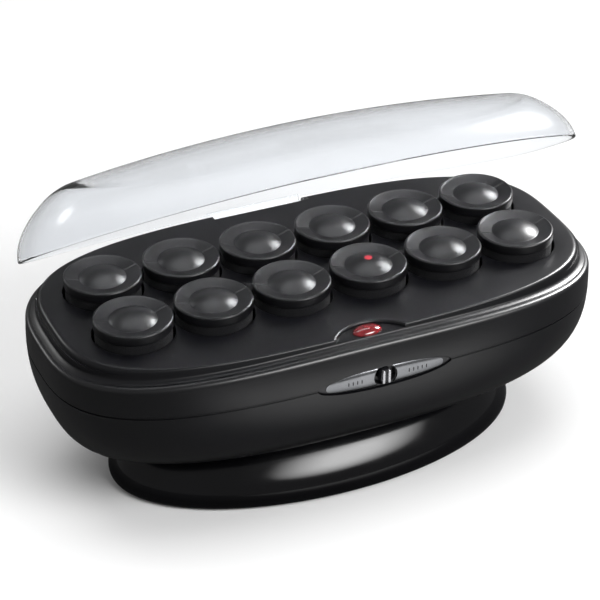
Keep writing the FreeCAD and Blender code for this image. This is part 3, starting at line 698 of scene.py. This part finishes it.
def deck_edge_rows():
    """Rings from the flat top, over the rounded edge and down the flank to the ledge."""
    edge = ring_at(*DECK_TOP_OUTLINE, DECK_TOP_Z)
    foot = ring_at(*DECK_FOOT_OUTLINE, lambda x: ledge_z(x) + DECK_LIFT)
    tip = np.abs(edge[:, 0] / DECK_TOP_OUTLINE[0]) ** DECK_ROUND_POWER
    size = (DECK_ROUND[0] + (DECK_ROUND[1] - DECK_ROUND[0]) * tip)[:, None]
    top = edge + (moved_in(edge, 1.0) - edge) * size
    knee = edge + (foot - edge) * DECK_KNEE
    down = (knee - edge) / np.linalg.norm(knee - edge, axis=1)[:, None]
    flank_start = edge + down * size
    flank_end = knee - down * DECK_FOOT_FLARE
    out = moved_in(foot, -DECK_FOOT_FLARE)
    out[:, 2] = ledge_z(out[:, 0]) + DECK_LIFT
    rows = list(softened(top, edge, flank_start, DECK_EDGE_ROWS))
    for share in DECK_FLANK_SHARES:
        rows.append(flank_start + (flank_end - flank_start) * share)
    return rows + list(softened(flank_end, knee - (0, 0, DECK_KNEE_DIP), out, DECK_KNEE_ROWS))


def well_rows(x, y):
    """Rings of one roller's well, from its rounded lip down to the deck's underside."""
    rings = []
    for angle in np.linspace(0, math.pi / 2, WELL_ROWS):
        radius = WELL_R + WELL_ROUND * (1 - math.sin(angle))
        z = DECK_TOP_Z - WELL_ROUND * (1 - math.cos(angle))
        rings.append(ellipse(radius, radius, (x, y, z), WELL_SEGMENTS))
    rings.append(ellipse(WELL_R, WELL_R, (x, y, DECK_UNDERSIDE_Z), WELL_SEGMENTS))
    return rings


def crescent_rows():
    """Rings of the round cut whose back part makes the crescent recess round the lamp's lens."""
    bottom = (0, CRESCENT_Y, DECK_TOP_Z - CRESCENT_DEPTH)
    rings = [ellipse(CRESCENT_R, CRESCENT_R, bottom, CRESCENT_SEGMENTS)]
    for angle in np.linspace(0, math.pi / 2, CRESCENT_ROWS):
        reach = CRESCENT_R + CRESCENT_ROUND * (1 - math.cos(angle))
        z = DECK_TOP_Z - CRESCENT_ROUND * (1 - math.sin(angle))
        rings.append(ellipse(reach, reach, (0, CRESCENT_Y, z), CRESCENT_SEGMENTS))
    rings.append(rings[-1] + (0, 0, CRESCENT_HEADROOM))
    return rings


def make_deck():
    """Deck with twelve round wells, a rounded edge and the crescent round the lamp's lens."""
    rows = deck_edge_rows()
    rows.append(rows[-1] - (0, 0, DECK_HEM))
    inside = moved_in(ring_at(*DECK_FOOT_OUTLINE, lambda x: ledge_z(x) + DECK_SKIN_LIFT), DECK_SKIN)
    inside[:, 2] = np.minimum(inside[:, 2], DECK_UNDERSIDE_Z - DECK_LEAST_SKIRT)
    rows += [inside, stacked(inside[:, 0], inside[:, 1], DECK_UNDERSIDE_Z)]
    points, faces = [], []
    extend(points, faces, *bridged(rows))
    for x, y in roller_middles():
        extend(points, faces, *bridged(well_rows(x, y)))
    deck = add_mesh("deck_plate", points, faces, "base", "deck_plastic")
    close_level(deck, (DECK_TOP_Z, DECK_UNDERSIDE_Z))
    cut_away(deck, *bridged(crescent_rows(), cap_start=True, cap_end=True))
    cut_away(deck, *box_block(*HINGE_POCKET))
    shade(deck)
    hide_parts("roller_deck")


# ---------------------------------------------------------------- switch

SURROUND_GAP = 0.1
SURROUND_FRONT_Y = -74.9
SURROUND_BACK_Y = -71.5
# Inset along X, inset along Z and depth behind the front.
SURROUND_EDGE = ((0.0, 0.0, 0.7), (0.1, 0.1, 0.35), (0.3, 0.3, 0.1), (0.65, 0.6, 0.0))
STEM_SLOT = (3.9, 1.9, 4.0)
# Half length, half height, power and depth behind the front.
SURROUND_BOWL = (
    (31.2, 4.98, 2.4, 0.0), (6.1, 4.95, 2.3, 0.0), (5.85, 4.9, 2.3, 0.12), (5.7, 4.88, 2.3, 0.4),
    (5.7, 4.85, 2.3, 2.5), (5.3, 4.5, 2.3, 3.0), (*STEM_SLOT, 3.1),
)
SPIGOT_OVAL = (24.0, 4.0, 2.0)
SPIGOT_BACK_Y = -69.6
BEZEL_OVAL = (30.9, 4.7, 2.6)
BEZEL_FRONT_Y = -75.9
BEZEL_DOME = 0.75
BEZEL_DOME_POWER = 1.6
BEZEL_SHARES = np.concatenate([[1.0], 1 - np.linspace(0.012, 0.2, 8), np.linspace(0.7, 0.03, 8)])
KNOB_WELL_R = 6.15
KNOB_WELL_CUT_Y = (-80.0, -70.0)
TICK_X = (12.5, 14.8, 17.1, 19.4, 21.7)
TICK_SIDES = {"left": (-1, 4), "right": (1, 5)}
TICK_HALF = (0.28, 1.05)
TICK_POWER = 3.0
TICK_SEGMENTS = 24
TICK_LAYERS = ((1.0, 0.2), (1.0, -0.04), (0.8, -0.06))
KNOB_PLATE = (2.6, 3.7, 4.0)
KNOB_PLATE_BACK_Y = -72.0
KNOB_PLATE_FRONT_Y = -76.2
KNOB_PLATE_EDGE = ((0.0, 0.3), (0.1, 0.08), (0.3, 0.0))
KNOB_STEM = (1.5, 1.5, 6.0)
KNOB_STEM_BACK_Y = -65.0
KNOB_OVERLAP = 0.3
KNOB_FRONT_Y = -77.3
RIB_HALF = (0.8, 3.6)
RIB_POWER = 5.0
RIB_X = 1.45
RIB_ROUND = 0.5
RIB_ROWS = 6


def oval_rings(steps):
    """Upright rings from (half_x, half_z, power, y) steps."""
    return [upright_ring(oval_loop(*shape), y) for *shape, y in steps]


def make_surround():
    """Black carrier with a soft front edge and a bowl for the knob, open at its back for the stem."""
    half_x, half_z, power = SURROUND_OVAL
    half_x, half_z = half_x - SURROUND_GAP, half_z - SURROUND_GAP
    steps = [(half_x, half_z, power, SURROUND_BACK_Y)]
    for along, up, behind in SURROUND_EDGE:
        steps.append((half_x - along, half_z - up, power, SURROUND_FRONT_Y + behind))
    steps += [(*shape, SURROUND_FRONT_Y + behind) for *shape, behind in SURROUND_BOWL]
    steps += [(*STEM_SLOT, SPIGOT_BACK_Y), (*SPIGOT_OVAL, SPIGOT_BACK_Y), (*SPIGOT_OVAL, SURROUND_BACK_Y)]
    points, faces = bridged(oval_rings(steps), close_loop=True)
    surround = add_mesh("surround_finished", points, faces, "base", "black_trim")
    shade(surround)
    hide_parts("switch_surround")


def bezel_y(x, z):
    """Front of the domed bezel at a place given from the switch's middle."""
    half_x, half_z, power = BEZEL_OVAL
    out = min((abs(x) / half_x) ** power + (abs(z) / half_z) ** power, 1.0)
    return BEZEL_FRONT_Y + BEZEL_DOME * out ** BEZEL_DOME_POWER


def make_bezel():
    """Two bright domed wings beside the knob's well."""
    half_x, half_z, power = BEZEL_OVAL
    rings = [upright_ring(oval_loop(*BEZEL_OVAL), SURROUND_FRONT_Y)]
    for share in BEZEL_SHARES:
        loop = oval_loop(half_x * share, half_z * share, power)
        rings.append(upright_ring(loop, [bezel_y(x - SWITCH_X, z - SWITCH_Z) for x, z in loop]))
    points, faces = bridged(rings, cap_start=True, cap_end=True)
    bezel = add_mesh("bezel_finished", points, faces, "base", "bright_trim")
    well = [upright_ring(oval_loop(KNOB_WELL_R, KNOB_WELL_R, 2.0), y) for y in KNOB_WELL_CUT_Y]
    cut_away(bezel, *bridged(well, cap_start=True, cap_end=True))
    shade(bezel)
    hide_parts("switch_bezel")


def make_ticks():
    """Plain printed ticks on the bezel's wings."""
    half_x, half_z = TICK_HALF
    for word, (side, count) in TICK_SIDES.items():
        for number, reach in enumerate(TICK_X[:count], 1):
            rings = []
            for grow, lift in TICK_LAYERS:
                loop = oval_loop(half_x * grow, half_z * grow, TICK_POWER, TICK_SEGMENTS)
                rings.append(upright_ring(loop + (side * reach, 0), bezel_y(reach, 0.0) + lift))
            points, faces = bridged(rings, cap_start=True, cap_end=True)
            add_mesh(f"tick_{word}_{number}", points, faces, "base", "black_trim")


def make_knob():
    """Slider's round-cornered plate and the stem behind it."""
    half_x, half_z, power = KNOB_PLATE
    plate = [(half_x, half_z, power, KNOB_PLATE_BACK_Y)]
    for inset, behind in KNOB_PLATE_EDGE:
        plate.append((half_x - inset, half_z - inset, power, KNOB_PLATE_FRONT_Y + behind))
    stem = [(*KNOB_STEM, KNOB_STEM_BACK_Y), (*KNOB_STEM, KNOB_PLATE_BACK_Y - KNOB_OVERLAP)]
    points, faces = [], []
    for steps in (plate, stem):
        extend(points, faces, *bridged(oval_rings(steps), cap_start=True, cap_end=True))
    knob = add_mesh("knob_finished", points, faces, "switch_slider", "black_trim")
    shade(knob)
    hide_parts("switch_knob")


def make_knob_ribs():
    """Two upright finger ribs on the slider's plate."""
    half_x, half_z = RIB_HALF
    steps = [(half_x, half_z, RIB_POWER, KNOB_PLATE_FRONT_Y + KNOB_OVERLAP)]
    for angle in np.linspace(0, math.pi / 2, RIB_ROWS):
        less = RIB_ROUND * (1 - math.cos(angle))
        y = KNOB_FRONT_Y + RIB_ROUND * (1 - math.sin(angle))
        steps.append((half_x - less, half_z - less, RIB_POWER, y))
    points, faces = [], []
    for side in (-1, 1):
        rings = [ring + (side * RIB_X, 0, 0) for ring in oval_rings(steps)]
        extend(points, faces, *bridged(rings, cap_start=True, cap_end=True))
    ribs = add_mesh("knob_ribs", points, faces, "switch_slider", "knob_plastic")
    shade(ribs)


# ---------------------------------------------------------------- roller caps

CAP_SEGMENTS = 144
# Radius and height over the cap's underside.
CAP_PROFILE = (
    (17.95, 0.15), (18.1, 0.0), (18.9, 0.0), (19.12, 0.12), (19.2, 0.35), (19.2, 1.6), (19.2, 3.0),
    (19.2, 4.1), (19.14, 4.35), (18.95, 4.6), (18.7, 4.82), (18.45, 4.95), (18.2, 4.98), (17.95, 4.88),
    (17.6, 4.72), (16.6, 4.48), (15.2, 4.14), (13.8, 3.8), (12.6, 3.52), (12.1, 3.4), (11.85, 3.34),
    (11.65, 3.36), (11.45, 3.46),
)
CAP_HOLLOW = 1.4
DOME_BASE = 3.4
DOME_REACH = 11.6
DOME_RISE = 3.8
DOME_RADII = np.linspace(11.2, 0.25, 14)
GROOVES_DEG = (8.0, 170.5)
GROOVE_HALF_DEG = 1.1
GROOVE_STEPS = (-2.2, -1.3, -0.8, 0.0, 0.8, 1.3, 2.2)
GROOVE_CLEAR = 3
GROOVE_EDGE = (0.8, 1.3)
GROOVE_DEPTH = 0.55
GROOVE_SPAN = (11.9, 18.6)
GROOVE_LEAST_HEIGHT = 3


def cap_turns():
    """Directions round a cap, with extra ones at the edges of its two grooves."""
    turns = set(np.round(np.linspace(0, 360, CAP_SEGMENTS, endpoint=False), 3))
    for groove in GROOVES_DEG:
        clear = GROOVE_CLEAR * GROOVE_HALF_DEG
        turns = {turn for turn in turns if abs(turn - groove) > clear}
        turns |= {round(groove + step * GROOVE_HALF_DEG, 3) for step in GROOVE_STEPS}
    return np.array(sorted(turns))


def cap_sinking(turns):
    """How far into a groove each direction is, from 0 outside to 1 on its floor."""
    inner, outer = GROOVE_EDGE
    sunk = np.zeros(len(turns))
    for groove in GROOVES_DEG:
        away = np.abs(turns - groove) / GROOVE_HALF_DEG
        sunk = np.maximum(sunk, np.clip((outer - away) / (outer - inner), 0, 1))
    return sunk


def cap_profile():
    """Section of a cap: skirt, bevelled rim, sloping ring and domed middle."""
    dome_r = (DOME_REACH ** 2 + DOME_RISE ** 2) / (2 * DOME_RISE)
    section = list(CAP_PROFILE)
    for reach in DOME_RADII:
        section.append((reach, DOME_BASE + DOME_RISE - dome_r + math.sqrt(dome_r ** 2 - reach ** 2)))
    return section


def make_caps():
    """Twelve roller caps with two radial grooves each."""
    turns = cap_turns()
    angles = np.radians(turns)
    sunk = cap_sinking(turns)
    for name in [node for node in NODES if node.startswith("roller_") and node.endswith("_cap")]:
        low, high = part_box(name)
        middle = (low + high) / 2 / MM
        foot = low.z / MM
        rings = []
        for reach, height in cap_profile():
            grooved = GROOVE_SPAN[0] < reach < GROOVE_SPAN[1] and height > GROOVE_LEAST_HEIGHT
            z = foot + height - (GROOVE_DEPTH if grooved else 0.0) * sunk
            x, y = middle.x + reach * np.cos(angles), middle.y + reach * np.sin(angles)
            rings.append(stacked(x, y, z))
        under = stacked(rings[0][:, 0], rings[0][:, 1], foot + CAP_HOLLOW)
        points, faces = bridged([under] + rings, cap_start=True, cap_end=True)
        cap = add_mesh(name + "_finished", points, faces, name.removesuffix("_cap"), "cap_plastic")
        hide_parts(name)


# ---------------------------------------------------------------- pedestal

# Height, half length and half depth.
PEDESTAL_RINGS = (
    (2.0, 109.0, 56.8), (4.0, 109.9, 57.7), (8.0, 110.0, 57.8), (14.0, 107.6, 55.4),
    (22.0, 101.2, 49.2), (29.0, 93.4, 42.3), (35.0, 85.0, 36.0),
)
PEDESTAL_WALL = 2.6
PEDESTAL_SEGMENTS = 256
PEDESTAL_OUTSIDE = np.linspace(0, 1, 49)
PEDESTAL_INSIDE = np.linspace(0.92, 0, 16)


def curve_through(values, share):
    """Smooth curve through evenly numbered values (Catmull-Rom)."""
    values = np.asarray(values, float)
    place = share * (len(values) - 1)
    index = min(int(place), len(values) - 2)
    part = place - index
    before = values[max(index - 1, 0)]
    here, there = values[index], values[index + 1]
    after = values[min(index + 2, len(values) - 1)]
    return 0.5 * (
        2 * here + (there - before) * part
        + (2 * before - 5 * here + 4 * there - after) * part ** 2
        + (3 * here - before - 3 * there + after) * part ** 3
    )


def make_pedestal():
    """Flared gloss pedestal with a hollow underside."""
    rings = []
    for shares, wall in ((PEDESTAL_OUTSIDE, 0.0), (PEDESTAL_INSIDE, PEDESTAL_WALL)):
        for share in shares:
            z, half_x, half_y = curve_through(PEDESTAL_RINGS, share)
            rings.append(ellipse(half_x - wall, half_y - wall, (0, 0, z), PEDESTAL_SEGMENTS))
    points, faces = bridged(rings, close_loop=True)
    pedestal = add_mesh("pedestal_finished", points, faces, "base", "pedestal_gloss")
    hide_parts("pedestal")


# ---------------------------------------------------------------- studio

# Sizes and places of the studio and the camera are in metres.
FLOOR_SIZE = 12.0
WORLD_STRENGTH = 0.33
LIGHT_AIM = (0.0, 0.0, 0.08)
GLOW_MIDDLE = 1.6
GLOW_EDGE = 0.52
# Painted reflection on the floor: middle and fade of its bright patch, the patch's white and the dark of the
# painted flag boards round it.
PAINTED_CARD_PLACE = (0.05, -0.27, 0.0)
PAINTED_CARD_FADE = (0.09, 0.18)
PAINTED_CARD_WHITE = (0.95, 0.95, 0.95)
PAINTED_FLAG_BLACK = (0.08, 0.08, 0.08)


def soften_glow(light, softness):
    """Lets a softbox's glow fall away from its middle towards its edges."""
    light.use_nodes = True
    tree = light.node_tree
    where = tree.nodes.new("ShaderNodeNewGeometry").outputs["Parametric"]
    middle = tree.nodes.new("ShaderNodeVectorMath")
    middle.operation = "DISTANCE"
    middle.inputs[1].default_value = (0.5, 0.5, 0.0)
    tree.links.new(where, middle.inputs[0])
    start = 0.5 * (1 - softness)
    glow = spread(tree, middle.outputs["Value"], GLOW_MIDDLE, 0.0, start, GLOW_EDGE)
    tree.links.new(glow, tree.nodes["Emission"].inputs["Strength"])


def add_area(name, place, size, power, softness=0.0, spared=(), mirrored=True):
    """Area light turned to the set.

    It doesn't light the spared objects, and reflections show it only if it is mirrored.
    """
    light = bpy.data.lights.new(name, "AREA")
    light.shape = "RECTANGLE"
    light.size, light.size_y = size
    light.energy = power
    if softness:
        soften_glow(light, softness)
    lamp = bpy.data.objects.new(name, light)
    lamp.location = place
    lamp.rotation_euler = (Vector(LIGHT_AIM) - Vector(place)).to_track_quat("-Z", "Y").to_euler()
    bpy.context.scene.collection.objects.link(lamp)
    lamp.visible_glossy = mirrored
    if spared:
        linked = bpy.data.collections.new(name + "_linking")
        for piece in spared:
            linked.objects.link(piece)
        for entry in linked.collection_objects:
            entry.light_linking.link_state = "EXCLUDE"
        lamp.light_linking.receiver_collection = linked


def painted_reflection_flags(tree, tint, socket):
    """Painted reflection: paints dark flag boards into the floor's colour, with a bright patch left free in front
    of the set.

    Only glossy reflections meet this painted colour; the camera and the clear lid show the plain tint.
    """
    away = tree.nodes.new("ShaderNodeVectorMath")
    away.operation = "DISTANCE"
    away.inputs[1].default_value = PAINTED_CARD_PLACE
    tree.links.new(object_coordinates(tree), away.inputs[0])
    fade = spread(tree, away.outputs["Value"], 0.0, 1.0, *PAINTED_CARD_FADE)
    # Painted highlight and painted shade: white patch in front of the set, dark flag boards beyond it.
    painted_card = two_tone(tree, fade, PAINTED_CARD_WHITE, PAINTED_FLAG_BLACK)
    path = tree.nodes.new("ShaderNodeLightPath")
    bounce = tree.nodes.new("ShaderNodeMath")
    bounce.operation = "SUBTRACT"
    bounce.use_clamp = True
    tree.links.new(path.outputs["Is Glossy Ray"], bounce.inputs[0])
    tree.links.new(path.outputs["Is Transmission Ray"], bounce.inputs[1])
    seen = tree.nodes.new("ShaderNodeMix")
    seen.data_type = "RGBA"
    tree.links.new(bounce.outputs["Value"], seen.inputs["Factor"])
    tree.links.new(tint, seen.inputs["A"])
    tree.links.new(painted_card, seen.inputs["B"])
    tree.links.new(seen.outputs["Result"], socket)


def make_floor():
    """Pale paper floor under the set, with a painted reflection in its colour for glossy rays."""
    bpy.ops.mesh.primitive_plane_add(size=FLOOR_SIZE, location=(0, 0, cad_box[0][2]))
    floor = bpy.context.object
    floor.name = "studio_floor"
    paper, tree, shader = new_material("studio_paper")
    drift = noise(tree, object_coordinates(tree), scale=3.0)
    tint = two_tone(tree, drift, (0.9, 0.9, 0.9), (0.93, 0.93, 0.93))
    # Painted reflection: glossy rays see dark flag boards and a bright patch painted into the floor's colour.
    painted_reflection_flags(tree, tint, shader.inputs["Base Color"])
    shader.inputs["Roughness"].default_value = 0.9
    floor.data.materials.append(paper)
    return floor


def make_studio():
    """Floor, even surroundings, a soft front light, two rim lights and a ceiling light."""
    floor = make_floor()
    world = bpy.data.worlds.new("studio_world")
    bpy.context.scene.world = world
    world.use_nodes = True
    sky = world.node_tree.nodes["Background"]
    sky.inputs["Color"].default_value = (1, 1, 1, 1)
    sky.inputs["Strength"].default_value = WORLD_STRENGTH
    bpy.context.scene.view_settings.view_transform = "Standard"
    add_area("front_softbox", (0.5, -1.12, 0.95), size=(1.35, 0.6), power=34.0, softness=0.7)
    add_area(
        "rim_softbox", (1.17, 0.4, 0.94), size=(0.55, 0.7), power=95.0, softness=0.6, spared=(floor,)
    )
    add_area(
        "back_softbox", (-0.9, 1.3, 0.7), size=(0.6, 0.5), power=5.0, softness=0.6, spared=(floor,)
    )
    add_area("ceiling", (0.0, 0.2, 2.4), size=(2.2, 2.2), power=42.0, mirrored=False)


# ---------------------------------------------------------------- camera

CAMERA_AZIMUTH = math.radians(-24.5)
CAMERA_ELEVATION = math.radians(30.4)
CAMERA_DISTANCE = 1.099
CAMERA_LENS = 133.3
CAMERA_SENSOR = 36.0
CAP_ABOVE_DECK = 0.009
AIM_RIGHT = -0.00554
AIM_UP = -0.02242


def make_camera():
    """Stands to the front left of the roller tops' centre, turned a little to frame the set."""
    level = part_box("roller_deck")[1].z + CAP_ABOVE_DECK
    back = Vector((
        math.sin(CAMERA_AZIMUTH) * math.cos(CAMERA_ELEVATION),
        -math.cos(CAMERA_AZIMUTH) * math.cos(CAMERA_ELEVATION),
        math.sin(CAMERA_ELEVATION),
    ))
    right = Vector((math.cos(CAMERA_AZIMUTH), math.sin(CAMERA_AZIMUTH), 0))
    up = back.cross(right)
    look = -back + right * AIM_RIGHT + up * AIM_UP
    data = bpy.data.cameras.new("camera")
    data.lens = CAMERA_LENS
    data.sensor_width = CAMERA_SENSOR
    camera = bpy.data.objects.new("camera", data)
    camera.location = Vector((0, 0, level)) + back * CAMERA_DISTANCE
    camera.rotation_euler = look.to_track_quat("-Z", "Y").to_euler()
    bpy.context.scene.collection.objects.link(camera)
    bpy.context.scene.camera = camera


# ---------------------------------------------------------------- the set

dress_cad()
make_upper_case()
make_deck()
make_lid()
make_lid_hinge()
make_surround()
make_bezel()
make_ticks()
make_knob()
make_knob_ribs()
make_caps()
make_pedestal()
make_studio()
make_camera()
